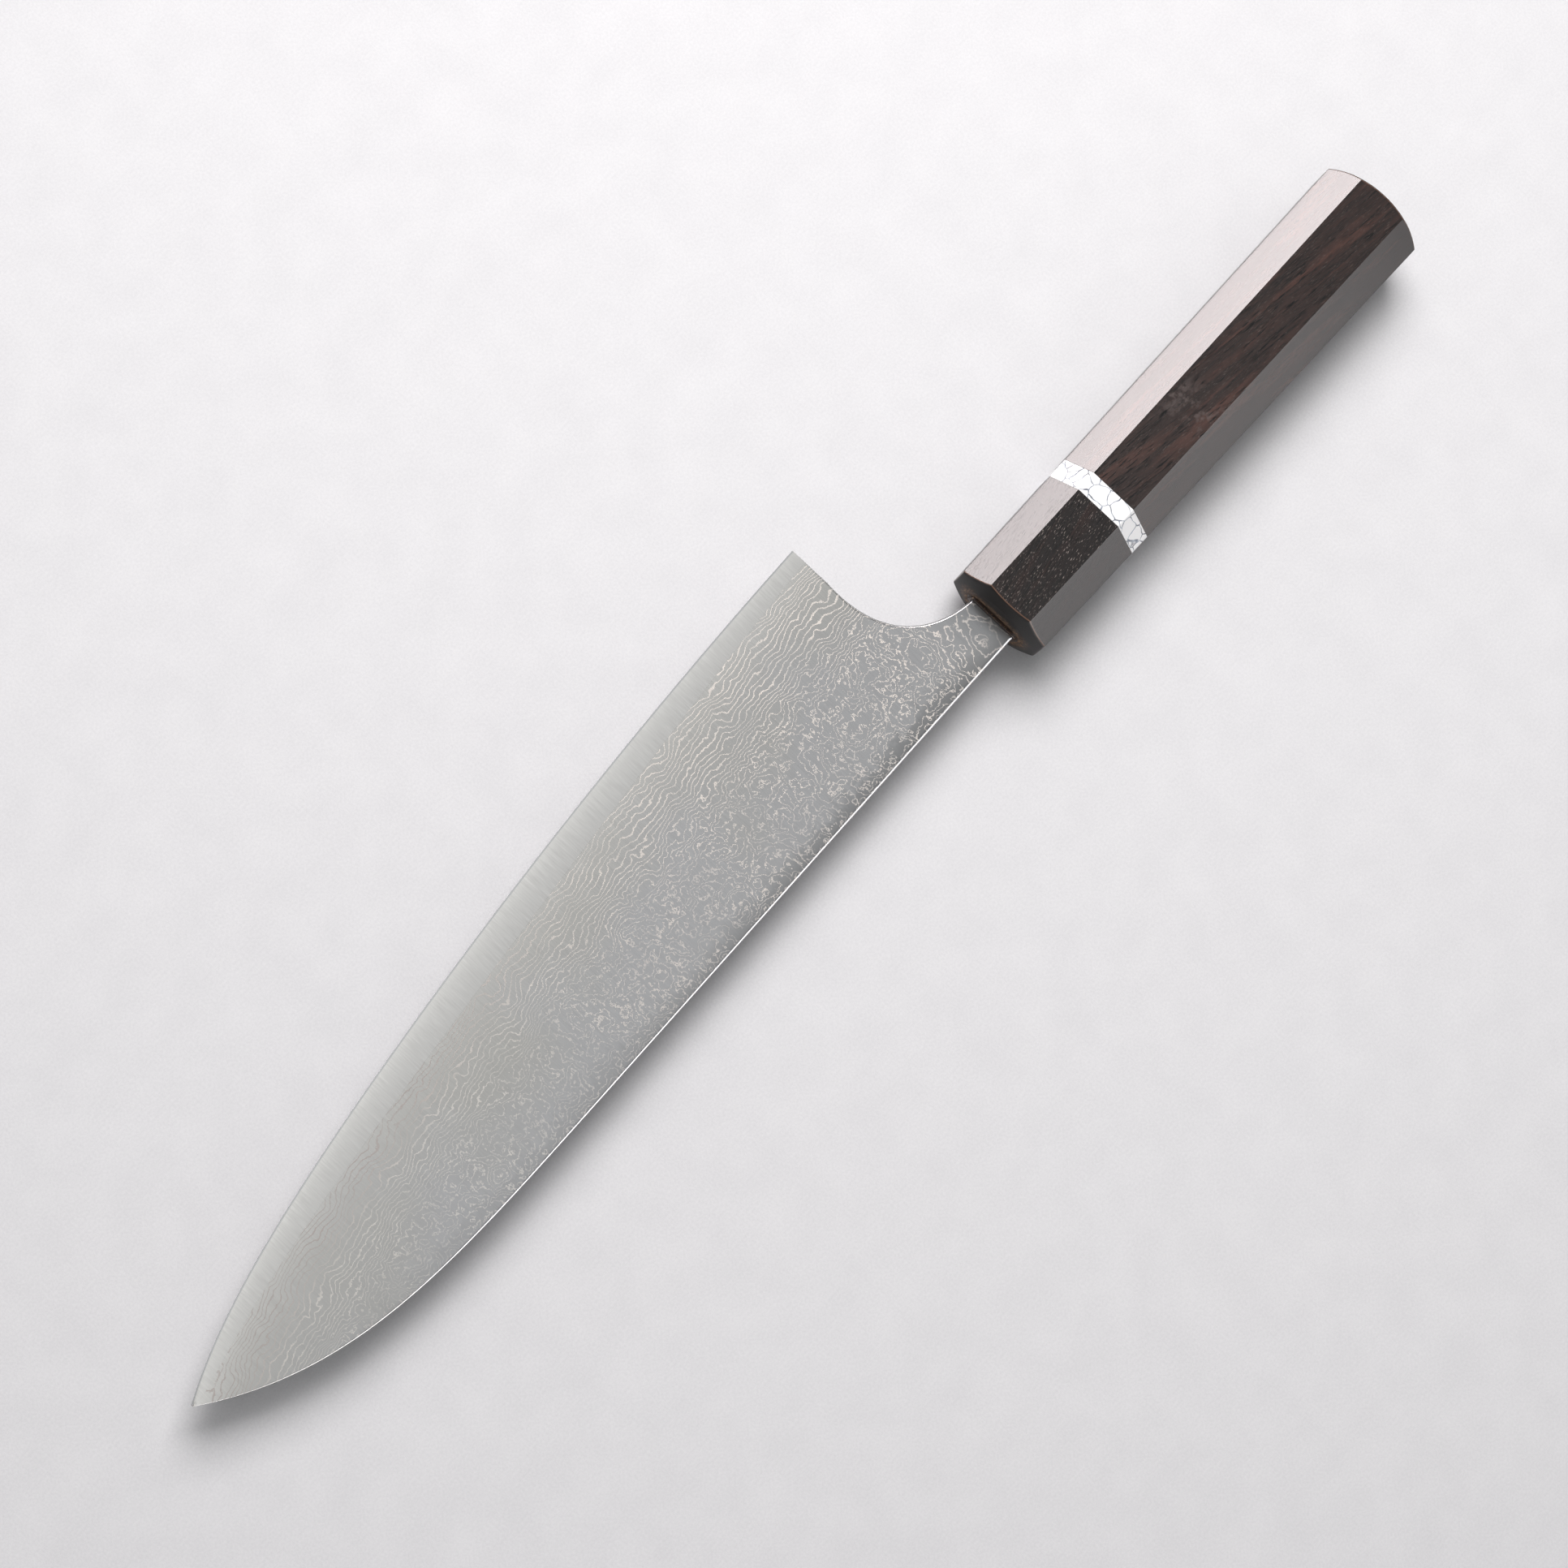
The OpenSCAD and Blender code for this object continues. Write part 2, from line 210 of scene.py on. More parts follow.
def closed_mesh(name, rings, loop=False):
    """A closed mesh through rings with the same number of points, each an (n, 3) array in
    millimetres. A loop's last ring joins its first; otherwise each end has a fan."""
    count, n = len(rings), len(rings[0])
    points = rings.reshape(-1, 3)
    faces = []
    for i in range(count if loop else count - 1):
        a, b = i * n, (i + 1) % count * n
        for j in range(n):
            k = (j + 1) % n
            faces.append((a + j, a + k, b + k, b + j))
    if not loop:
        points = np.concatenate([points, [rings[0].mean(0)], [rings[-1].mean(0)]])
        last = (count - 1) * n
        for j in range(n):
            k = (j + 1) % n
            faces += [(k, j, count * n), (last + j, last + k, count * n + 1)]
    mesh = bpy.data.meshes.new(name)
    mesh.from_pydata((points * MM + np.array(ORIGIN)).tolist(), [], faces)
    tidy = bmesh.new()
    tidy.from_mesh(mesh)
    bmesh.ops.recalc_face_normals(tidy, faces=tidy.faces)
    tidy.to_mesh(mesh)
    tidy.free()
    mesh.polygons.foreach_set("use_smooth", [True] * len(faces))
    mesh.set_sharp_from_angle(angle=SHARP_ANGLE)
    obj = bpy.data.objects.new(name, mesh)
    bpy.context.scene.collection.objects.link(obj)
    even = obj.modifiers.new("even_normals", "WEIGHTED_NORMAL")
    even.keep_sharp = True
    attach(obj, BODY)
    return obj


FACE_ROWS = 26
FACE_CROWD = 1.5
ROUND_ROWS = 8
# the rounded spine: its radius, the most that it takes of the cladding's thickness, and how
# much wider than deep it is
SPINE_ROUND = 0.95
SPINE_ROUND_SHARE = 0.92
SPINE_ROUND_WIDTH = 1.3
# the face leans in a little beside the spine, less and less from x = 110 to 190
SPINE_DROP = 0.13
SPINE_DROP_REACH = 3.6
SPINE_DROP_END = 190
SPINE_DROP_FADE = 80
# the rounded choil: its radius, and the stations over which it dies out at the heel
CHOIL_ROUND = 0.5
CHOIL_FADE_STEPS = 8
# the edges that the handle hides are eased only a little
HIDDEN_ROUND_TOP = 0.1
HIDDEN_ROUND_LOW = 0.05
HIDDEN_END = FRONT_CHAMFER + 0.1
SMALLEST_ROUND = 0.02
# the choil's rounding is widened where a station leans along the outline, down to this sine
# of the angle between the two
SMALLEST_LEAN = 0.35
# the cladding ends this many stations before the tip, which is bare core
BARE_TIP_STEPS = 2


def cladding(name, side):
    """One layer of cladding. The choil and the spine are eased over a quarter round."""
    start = strip_tops()
    height = TOP[:, 1] - LOW[:, 1]
    inner = core_t(on_station(start)[:, 0])
    inner_top = core_t(TOP[:, 0])
    drop = SPINE_DROP * np.clip((SPINE_DROP_END - TOP[:, 0]) / SPINE_DROP_FADE, 0, 1)
    spare = half_t(TOP[:, 0], TOP[:, 1]) - drop - inner_top
    hidden = LOW[:, 0] < HIDDEN_END
    r_top = np.minimum(SPINE_ROUND, SPINE_ROUND_SHARE * spare)
    r_top = np.where(hidden, HIDDEN_ROUND_TOP, r_top)
    index = np.arange(len(LOW))
    lower_spare = half_t(*on_station(start + CHOIL_ROUND).T) - inner
    fade = np.clip((EDGE_START - index) / CHOIL_FADE_STEPS, 0, 1)
    r_low = np.maximum(SMALLEST_ROUND, np.minimum(CHOIL_ROUND, lower_spare) * fade)
    r_low = np.where(hidden, HIDDEN_ROUND_LOW, r_low)
    tangent = np.gradient(LOW, axis=0)
    tangent /= np.linalg.norm(tangent, axis=1)[:, None]
    along = (TOP - LOW) / height[:, None]
    lean = np.abs(tangent[:, 0] * along[:, 1] - tangent[:, 1] * along[:, 0])
    spread = 1 / np.maximum(lean, SMALLEST_LEAN)

    rows = []

    def add(rise, z):
        p = on_station(rise)
        rows.append(np.column_stack([p, z]))

    add(start, inner)
    for i in range(1, ROUND_ROWS + 1):
        a = math.pi / 2 * i / ROUND_ROWS
        rise = start + r_low * spread * (1 - math.cos(a))
        surface = half_t(*on_station(rise).T)
        add(rise, np.maximum(surface - r_low * (1 - math.sin(a)), inner + LIP * i / ROUND_ROWS))
    face_start = start + r_low * spread
    face_end = height - r_top * SPINE_ROUND_WIDTH
    for i in range(1, FACE_ROWS + 1):
        t = 1 - (1 - i / FACE_ROWS) ** FACE_CROWD
        rise = face_start + (face_end - face_start) * t
        p = on_station(rise)
        near_top = np.clip(1 - (face_end - rise) / SPINE_DROP_REACH, 0, 1)
        surface = half_t(p[:, 0], p[:, 1]) - drop * near_top ** 2
        add(rise, np.maximum(surface, core_t(p[:, 0]) + LIP))
    z_top = half_t(TOP[:, 0], TOP[:, 1]) - drop
    for i in range(1, ROUND_ROWS + 1):
        a = math.pi / 2 * i / ROUND_ROWS
        add(face_end + r_top * SPINE_ROUND_WIDTH * math.sin(a), z_top - r_top * (1 - math.cos(a)))
    add(height, inner_top)
    rings = np.stack(rows, axis=1)[:-BARE_TIP_STEPS]
    rings[:, :, 2] *= side
    if side < 0:
        rings = rings[:, ::-1]
    return closed_mesh(name, rings)


# where the bare strip's rows lie, as shares of its width
CORE_SHARES = (0, 0.1, 0.3, 0.6, 1)


def blade_core(name):
    """The hard core: bare along the edge, between the claddings above it."""
    start = strip_tops()
    rows = []
    for share in CORE_SHARES:
        p = on_station(start * share)
        z = np.minimum(half_t(p[:, 0], p[:, 1]), core_t(p[:, 0]) + LIP)
        rows.append(np.column_stack([p, z]))
    p = on_station(start)
    rows.append(np.column_stack([p, core_t(p[:, 0])]))
    rows.append(np.column_stack([TOP, core_t(TOP[:, 0])]))
    rings = np.stack(rows, axis=1)
    mirrored = rings[:, ::-1] * np.array([1, 1, -1])
    return closed_mesh(name, np.concatenate([rings, mirrored], axis=1))


core = blade_core("core_layer")
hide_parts("blade_core")
clad_right = cladding("damascus_right", 1)
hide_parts("cladding_right")
clad_left = cladding("damascus_left", -1)
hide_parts("cladding_left")


# ---------------------------------------------------------------- handle
# the octagon at the ferrule's front corners and at the butt: width along Y, height along Z
# and the leg of its corner bevels
FRONT_W, BUTT_W = 26.0, 28.7
FRONT_H, BUTT_H = 24.6, 27.2
LEG_FRONT, LEG_BUTT = 6.8, 7.5
HANDLE_LENGTH = 138.6
DOME_RADIUS = 28
FERRULE_LENGTH = 32.1
RING_THICKNESS = 5.6
FACE_RADIUS = 9.1
DOWEL_RADIUS = 8
DOWEL_FRONT = 12
BODY_BORE_END = -113
MOUTH_WIDTH, MOUTH_HEIGHT = 16, 6.4
# how far each kind of edge is rounded or eased
RIDGE_RADIUS = 0.3
JOINT_EASE = 0.05
END_EASE = 0.35
RIM_EASE = 0.65
FACE_EASE = 0.3
MOUTH_EASE = 0.15
# the dome lies this far inside the CAD's
BUTT_INSIDE = 0.006
# points round each ridge and across each flat, and rings along and across the surfaces
CORNER_POINTS = 5
FLAT_POINTS = 9
BODY_RINGS = (-130, -100, -70)
FERRULE_RING = -16
DOME_SHARES = (0.04, 0.15, 0.3, 0.45, 0.6, 0.75, 0.88)
CONE_SHARES = (0.25, 0.5, 0.75)
BORE_END_RADIUS = 1.0
BUTT_HALF = 14
RING_BACK = -FERRULE_LENGTH - RING_THICKNESS
DOME_CORNER = math.hypot(BUTT_H / 2, BUTT_W / 2 - LEG_BUTT)
DOME_CENTRE = -HANDLE_LENGTH + math.sqrt(DOME_RADIUS ** 2 - DOME_CORNER ** 2)
CONE_SLOPE = FRONT_CHAMFER / (math.hypot(FRONT_H / 2, FRONT_W / 2 - LEG_FRONT) - FACE_RADIUS)


def octagon(x, inset=0.0):
    """The handle's outline at x, with rounded ridges: an array of [x, y, z] points."""
    t = -x / HANDLE_LENGTH
    w = (FRONT_W + (BUTT_W - FRONT_W) * t) / 2
    h = (FRONT_H + (BUTT_H - FRONT_H) * t) / 2
    leg = LEG_FRONT + (LEG_BUTT - LEG_FRONT) * t
    corners = np.array([(w, h - leg), (w - leg, h), (leg - w, h), (-w, h - leg),
                        (-w, leg - h), (leg - w, -h), (w - leg, -h), (w, leg - h)])
    corners *= 1 - inset / w
    points = []
    cut = RIDGE_RADIUS * math.tan(math.pi / 8)
    for i in range(8):
        before, here, after = corners[i - 1], corners[i], corners[(i + 1) % 8]
        to_before = (before - here) / np.linalg.norm(before - here)
        to_after = (after - here) / np.linalg.norm(after - here)
        start, end = here + to_before * cut, here + to_after * cut
        for t in np.linspace(0, 1, CORNER_POINTS):
            points.append((1 - t) ** 2 * start + 2 * t * (1 - t) * here + t * t * end)
        next_start = after - to_after * cut
        for t in np.linspace(0, 1, FLAT_POINTS + 2)[1:-1]:
            points.append(end + (next_start - end) * t)
    flat = np.array(points)
    return np.column_stack([np.full(len(flat), float(x)), flat])


def circle(x, radius):
    """A circle with the octagon's points, seen from the axis."""
    ring = octagon(x)
    way = ring[:, 1:] / np.linalg.norm(ring[:, 1:], axis=1)[:, None]
    return np.column_stack([ring[:, 0], way * radius])


def slot(x, inset=0.0):
    """The ferrule mouth's outline, a slot with round ends, centred on the neck."""
    way = circle(x, 1.0)[:, 1:]
    r = MOUTH_HEIGHT / 2 - inset
    a = (MOUTH_WIDTH - MOUTH_HEIGHT) / 2
    c, s = np.abs(way[:, 0]), np.abs(way[:, 1])
    straight = r / np.maximum(s, 1e-6)
    rounded = a * c + np.sqrt(np.maximum(r * r - (a * s) ** 2, 0))
    reach = np.where(straight * c <= a, straight, rounded)
    yz = way * reach[:, None] + np.array([(NECK_TOP - NECK_BOTTOM) / 2, 0])
    return np.column_stack([np.full(len(yz), float(x)), yz])


def eased(before, corner, after, steps=4):
    """Rings that round the edge between two surfaces."""
    return [(1 - t) ** 2 * before + 2 * t * (1 - t) * corner + t * t * after
            for t in np.linspace(0, 1, steps + 1)]


def radii(ring):
    """Distance of each point of a ring from the handle's axis."""
    return np.linalg.norm(ring[:, 1:], axis=1)


def on_dome(ring, share):
    """The outline drawn in towards the axis, on the butt's dome."""
    yz = ring[:, 1:] * share
    x = DOME_CENTRE + BUTT_INSIDE - np.sqrt(DOME_RADIUS ** 2 - (yz ** 2).sum(1))
    return np.column_stack([x, yz])


def on_cone(ring, radius):
    """The outline drawn in to a distance from the axis, on the ferrule's turned chamfer."""
    yz = ring[:, 1:] / radii(ring)[:, None] * radius[:, None]
    return np.column_stack([FRONT_CHAMFER - CONE_SLOPE * (radius - FACE_RADIUS), yz])


def handle_body():
    """The long ebony part, with its domed butt and the blind bore for the dowel."""
    butt = octagon(-HANDLE_LENGTH)
    edge = on_dome(butt, 1.0)
    rings = [on_dome(butt, share) for share in DOME_SHARES]
    rings += eased(on_dome(butt, 1 - END_EASE / BUTT_HALF), edge, edge + [END_EASE, 0, 0])
    rings += [octagon(x) for x in (*BODY_RINGS, RING_BACK - JOINT_EASE)]
    rings += [octagon(RING_BACK, JOINT_EASE), circle(RING_BACK, DOWEL_RADIUS)]
    rings += [circle(BODY_BORE_END, DOWEL_RADIUS), circle(BODY_BORE_END, BORE_END_RADIUS)]
    return closed_mesh("handle_grip", np.array(rings))


def spacer_ring():
    """The stone ring, bored for the dowel."""
    front = -FERRULE_LENGTH
    rings = [circle(RING_BACK, DOWEL_RADIUS), octagon(RING_BACK, JOINT_EASE),
             octagon(RING_BACK + JOINT_EASE), octagon(front - JOINT_EASE),
             octagon(front, JOINT_EASE), circle(front, DOWEL_RADIUS)]
    return closed_mesh("stone_ring", np.array(rings), loop=True)


def ferrule():
    """The ebony collar: a turned cone in front, and a slotted mouth that opens into the bore."""
    back = -FERRULE_LENGTH
    front = octagon(0)
    outer = radii(front)
    edge = on_cone(front, outer)
    face = circle(FRONT_CHAMFER, FACE_RADIUS)
    rings = [circle(back, DOWEL_RADIUS), octagon(back, JOINT_EASE), octagon(back + JOINT_EASE),
             octagon(FERRULE_RING)]
    rings += eased(edge - [RIM_EASE, 0, 0], edge, on_cone(front, outer - RIM_EASE))
    rings += [on_cone(front, outer + (FACE_RADIUS + FACE_EASE - outer) * share)
              for share in CONE_SHARES]
    rings += eased(on_cone(front, np.full(len(front), FACE_RADIUS + FACE_EASE)), face,
                   circle(FRONT_CHAMFER, FACE_RADIUS - FACE_EASE))
    rings += eased(slot(FRONT_CHAMFER, -MOUTH_EASE), slot(FRONT_CHAMFER),
                   slot(FRONT_CHAMFER - MOUTH_EASE))
    rings += [slot(-DOWEL_FRONT), circle(-DOWEL_FRONT, DOWEL_RADIUS)]
    return closed_mesh("ebony_collar", np.array(rings), loop=True)


PIECES = {}
for made, node, material_slot in ((handle_body(), "handle_body", "ebony_body"),
                                  (spacer_ring(), "spacer_ring", "white_stone"),
                                  (ferrule(), "ferrule", "ebony_ferrule")):
    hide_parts(node)
    PIECES[node] = made


# ---------------------------------------------------------------- node helpers
class Graph:
    """Short ways to build one material's nodes. Numbers and sockets can be mixed freely."""

    def __init__(self, tree):
        self.tree = tree
        tree.nodes.clear()

    def node(self, kind, inputs=(), **settings):
        """A new node, with its inputs and its other settings."""
        made = self.tree.nodes.new(kind)
        for key, value in settings.items():
            setattr(made, key, value)
        for key, value in dict(inputs).items():
            self.put(made.inputs[key], value)
        return made

    def put(self, socket, value):
        """Links a socket to an output, or sets its number or colour."""
        if isinstance(value, bpy.types.NodeSocket):
            self.tree.links.new(value, socket)
        else:
            socket.default_value = value

    def math(self, operation, a, b=0.0, clamp=False):
        n = self.node("ShaderNodeMath", {0: a, 1: b}, operation=operation, use_clamp=clamp)
        return n.outputs[0]

    def add(self, a, b):
        return self.math("ADD", a, b)

    def sub(self, a, b):
        return self.math("SUBTRACT", a, b)

    def mul(self, a, b):
        return self.math("MULTIPLY", a, b)

    def step(self, value, lo, hi, to_lo=0.0, to_hi=1.0):
        """A smooth step of value from lo to hi."""
        n = self.node("ShaderNodeMapRange", {0: value, 1: lo, 2: hi, 3: to_lo, 4: to_hi},
                      interpolation_type="SMOOTHSTEP")
        return n.outputs[0]

    def line(self, value, lo, hi, to_lo=0.0, to_hi=1.0):
        """A straight ramp of value from lo to hi."""
        n = self.node("ShaderNodeMapRange", {0: value, 1: lo, 2: hi, 3: to_lo, 4: to_hi})
        return n.outputs[0]

    def noise(self, vector, scale, detail=2.0, rough=0.5, bend=0.0):
        n = self.node("ShaderNodeTexNoise",
                      {"Vector": vector, "Scale": scale, "Detail": detail, "Roughness": rough,
                       "Distortion": bend})
        return n.outputs[0]

    def mix(self, share, a, b):
        """Colour a where share is 0 and b where it is 1."""
        n = self.node("ShaderNodeMix", data_type="RGBA")
        self.put(n.inputs[0], share)
        self.put(n.inputs[6], a)
        self.put(n.inputs[7], b)
        return n.outputs[2]

    def blend(self, share, a, b):
        """Number a where share is 0 and b where it is 1."""
        n = self.node("ShaderNodeMix", data_type="FLOAT")
        self.put(n.inputs[0], share)
        self.put(n.inputs[2], a)
        self.put(n.inputs[3], b)
        return n.outputs[0]

    def vector(self, x, y, z):
        return self.node("ShaderNodeCombineXYZ", {0: x, 1: y, 2: z}).outputs[0]

    def stretch(self, vector, scale, turn=(0, 0, 0), shift=(0, 0, 0)):
        n = self.node("ShaderNodeMapping", {"Vector": vector, "Scale": scale, "Rotation": turn,
                                            "Location": shift})
        return n.outputs[0]

    def place(self):
        """Object coordinates in the knife's own frame, in millimetres."""
        co = self.node("ShaderNodeTexCoord").outputs["Object"]
        moved = self.node("ShaderNodeVectorMath", {0: co, 1: ORIGIN}, operation="SUBTRACT")
        moved = self.node("ShaderNodeVectorMath", {0: moved.outputs[0], 3: 1 / MM},
                          operation="SCALE")
        return moved.outputs[0]

    def facing(self):
        """Which way the surface faces, in the knife's frame."""
        return self.node("ShaderNodeTexCoord").outputs["Normal"]

    def xyz(self, vector):
        n = self.node("ShaderNodeSeparateXYZ", {0: vector})
        return n.outputs[0], n.outputs[1], n.outputs[2]

    def bump(self, height, distance, strength=1.0):
        n = self.node("ShaderNodeBump", {"Height": height, "Distance": distance,
                                         "Strength": strength})
        return n.outputs[0]

    def shader(self, **inputs):
        """The Principled shader and the output. Underscores in names stand for spaces."""
        n = self.node("ShaderNodeBsdfPrincipled")
        for key, value in inputs.items():
            self.put(n.inputs[key.replace("_", " ")], value)
        self.node("ShaderNodeOutputMaterial", {0: n.outputs[0]})


def new_material(name):
    """A material and the helper that builds its nodes."""
    material = bpy.data.materials.new(name)
    material.use_nodes = True
    return material, Graph(material.node_tree)


def rgb(r, g, b):
    return (r, g, b, 1.0)


# ---------------------------------------------------------------- blade materials
# the steel at the edge: a finer polish and a painted sheen
EDGE_POLISH_AND_SHEEN = rgb(0.79, 0.785, 0.765)
CORE_COLOUR = rgb(0.50, 0.50, 0.495)
CORE_GRIND = rgb(0.4, 0.4, 0.4)
MICRO_BEVEL = rgb(0.48, 0.485, 0.49)
CLAD_WARM = rgb(0.472, 0.47, 0.453)
CLAD_COOL = rgb(0.478, 0.482, 0.492)
CLAD_GRIND = rgb(0.38, 0.38, 0.38)
# painted reflection of the dark ferrule, on the steel near the neck
NECK_PAINTED_REFLECTION = rgb(0.17, 0.18, 0.19)
# painted shade in patches along the spine
SPINE_PAINTED_SHADE = rgb(0.25, 0.255, 0.26)
LINE_BRIGHT = rgb(0.74, 0.69, 0.64)
TIP_LINE_LOW = rgb(0.40, 0.34, 0.32)
TIP_LINE_HIGH = rgb(0.70, 0.68, 0.64)
# how fast the edge's polish and painted sheen fade, per millimetre
POLISH_AND_SHEEN_FADE = -0.13
# spacing of the fine satin lines, how far they carry across the blade, and their relief
GRIND_SIZE = 0.35
GRIND_REACH = 0.06
GRIND_RELIEF = 0.5
ETCH_DEPTH = 0.01 * MM
ETCH_STRENGTH = 0.6
# how many layers the grind cuts through, from LAYERS_FROM over LAYERS_REACH of height
LAYERS = 16.0
LAYERS_FROM = 4.0
LAYERS_REACH = 32.0


def edge_height(g, x, y):
    """Height above the cutting edge, in nodes: the same curve as edge_y."""
    u = g.math("DIVIDE", g.sub(x, HEEL_X), TIP_X - HEEL_X, clamp=True)
    rise = 0.0
    for share, power in EDGE_SHARES:
        rise = g.add(rise, g.mul(g.math("POWER", u, power), share * EDGE_RISE))
    return g.sub(y, g.sub(rise, HEEL_DROP))


def polish_and_sheen(g, v, low, high):
    """The steel's colour, brighter towards the edge: partly a finer polish, partly a painted
    sheen.
    """
    return g.mix(g.math("EXPONENT", g.mul(v, POLISH_AND_SHEEN_FADE)), low, high)


def grind_marks(g, x, y):
    """Fine satin lines across the blade."""
    stretched = g.vector(g.mul(x, 1 / GRIND_SIZE), g.mul(y, GRIND_REACH / GRIND_SIZE), 0.0)
    return g.noise(stretched, 1.0, 3.0, 0.6)


def spine_painted_shade(g, x, y, flat):
    """Painted shade in patches along the spine, from the neck to mid-blade: how much darker the
    steel is drawn there.
    """
    ragged = g.add(g.noise(flat, 0.22, 3.0, 0.6, 0.6), g.mul(g.noise(flat, 0.06, 1.0), 0.6))
    below = g.sub(g.add(NECK_TOP, g.mul(x, SPINE_RISE)), y)
    depth = g.line(ragged, 0.5, 1.1, 1.5, 8.0)
    shade = g.step(below, g.mul(depth, 0.6), g.mul(depth, 1.3), 1.0, 0.0)
    return g.mul(g.mul(shade, g.step(x, 30.0, 130.0, 0.5, 0.15)), g.step(x, 4.0, 20.0))


def damascus():
    """Etched layers: contour lines of a ground, hammered stack of steels."""
    material, g = new_material("damascus_steel")
    p = g.place()
    x, y, z = g.xyz(p)
    v = edge_height(g, x, y)
    flat = g.vector(x, y, g.mul(z, 3.0))

    # how deep in the stack of layers the ground surface lies, in layers: it is calm along the
    # edge and wild towards the spine
    t = g.math("DIVIDE", g.sub(v, LAYERS_FROM), LAYERS_REACH, clamp=True)
    rest = g.sub(1.0, t)
    layers = g.mul(g.sub(1.0, g.mul(rest, rest)), LAYERS)
    wild = g.mul(g.step(v, 15.0, 30.0), g.step(x, 4.0, 24.0, 0.25, 1.0))
    wide = g.noise(flat, 0.075, 2.0, 0.5, 0.3)
    middle = g.noise(g.stretch(flat, (1, 1, 1), shift=(31, 7, 0)), 0.17, 2.0, 0.45, 0.5)
    small = g.noise(g.stretch(flat, (1, 0.75, 1), shift=(3, 51, 0)), 0.7, 2.5, 0.6)
    fine = g.noise(g.stretch(flat, (1.0, 0.45, 1), shift=(13, 5, 0)), 3.0, 2.0, 0.6)
    depth = g.add(layers, g.mul(wide, g.blend(wild, 7.0, 8.0)))
    depth = g.add(depth, g.mul(middle, g.blend(wild, 2.8, 9.0)))
    depth = g.add(depth, g.mul(small, g.blend(wild, 0.6, 2.3)))
    depth = g.add(depth, g.mul(fine, g.blend(wild, 0.25, 0.8)))

    # a line shows at each whole number of layers and a half
    phase = g.math("FRACT", depth)
    away = g.mul(g.math("ABSOLUTE", g.sub(phase, 0.5)), 2.0)
    line_half = g.blend(wild, 0.17, 0.145)
    ridge = g.step(away, g.sub(line_half, 0.08), g.add(line_half, 0.1), 1.0, 0.0)

    # the lines are fainter at the neck, in patches, towards the tip and along the edge
    patch = g.noise(flat, 0.1, 2.0, 0.5)
    strength = g.mul(ridge, g.line(patch, 0.35, 0.6, 0.6, 1.0))
    strength = g.mul(strength, g.step(x, 2.0, 16.0, 0.5, 1.0))
    strength = g.mul(strength, g.step(x, 40.0, 140.0, 1.0, 0.72))
    strength = g.mul(strength, g.step(v, 3.0, 14.0, g.step(x, 50.0, 120.0, 1.0, 0.85), 1.0))

    # the steel between the lines: warmer low down, with painted shade at the neck standing in for
    # the dark ferrule's reflection, and painted shade in patches along the spine
    marks = grind_marks(g, x, y)
    haze = g.add(g.noise(flat, 0.03, 2.0, 0.5), g.line(v, 5.0, 40.0, -0.25, 0.25))
    steel = g.mix(g.line(haze, 0.3, 0.7), CLAD_WARM, CLAD_COOL)
    # brighter towards the edge: a finer polish and a painted sheen
    steel = polish_and_sheen(g, v, steel, EDGE_POLISH_AND_SHEEN)
    # painted shade near the neck: the dark ferrule's reflection drawn into the steel
    steel = g.mix(g.step(x, 1.0, 15.0, 0.45, 0.0), steel, NECK_PAINTED_REFLECTION)
    steel = g.mix(g.line(marks, 0.3, 0.7, 0.0, 0.15), steel, CLAD_GRIND)
    # painted shade in patches along the spine
    steel = g.mix(spine_painted_shade(g, x, y, flat), steel, SPINE_PAINTED_SHADE)

    # near the tip the lines are darker than the steel along the edge, which is drawn brighter by
    # its polish and a painted sheen
    tip_line = g.mix(g.step(v, 8.0, 18.0), TIP_LINE_LOW, TIP_LINE_HIGH)
    line_colour = g.mix(g.step(x, 110.0, 180.0), LINE_BRIGHT, tip_line)
    colour = g.mix(strength, steel, line_colour)
    metal = g.blend(strength, 1.0, 0.15)
    rough = g.blend(strength, g.line(marks, 0.3, 0.7, 0.29, 0.35), 0.5)
    bump = g.bump(g.add(g.mul(marks, GRIND_RELIEF), strength), ETCH_DEPTH, ETCH_STRENGTH)
    g.shader(Base_Color=colour, Metallic=metal, Roughness=rough, Normal=bump)
    return material


def core_steel():
    """Bare hard steel: satin across the edge, with a mirror micro-bevel."""
    material, g = new_material("core_steel")
    x, y, _ = g.xyz(g.place())
    v = edge_height(g, x, y)
    marks = grind_marks(g, x, y)
    # brighter towards the edge: a finer polish and a painted sheen
    steel = polish_and_sheen(g, v, CORE_COLOUR, EDGE_POLISH_AND_SHEEN)
    steel = g.mix(g.line(marks, 0.3, 0.7, 0.0, 0.15), steel, CORE_GRIND)
    on_bevel = g.step(v, BEVEL_WIDTH * 0.5, BEVEL_WIDTH * 0.9, 1.0, 0.0)
    colour = g.mix(on_bevel, steel, MICRO_BEVEL)
    rough = g.blend(on_bevel, g.line(marks, 0.3, 0.7, 0.29, 0.35), 0.2)
    g.shader(Base_Color=colour, Metallic=1.0, Roughness=rough,
             Normal=g.bump(g.mul(marks, GRIND_RELIEF), ETCH_DEPTH, ETCH_STRENGTH))
    return material


# ---------------------------------------------------------------- handle materials
PORE_BLACK = rgb(0.001, 0.001, 0.001)
SPECK_PALE = rgb(0.26, 0.22, 0.2)
FLAT_PATCH_GREY = rgb(0.105, 0.08, 0.075)
# the end grain's own colour, darkened further as painted shade
END_GRAIN_AND_SHADE = rgb(0.007, 0.005, 0.0045)
# the rim line's colour: rubbed wear and a painted highlight
RIM_WEAR_AND_HIGHLIGHT = rgb(0.22, 0.12, 0.08)
SEEP_BROWN = rgb(0.30, 0.17, 0.09)
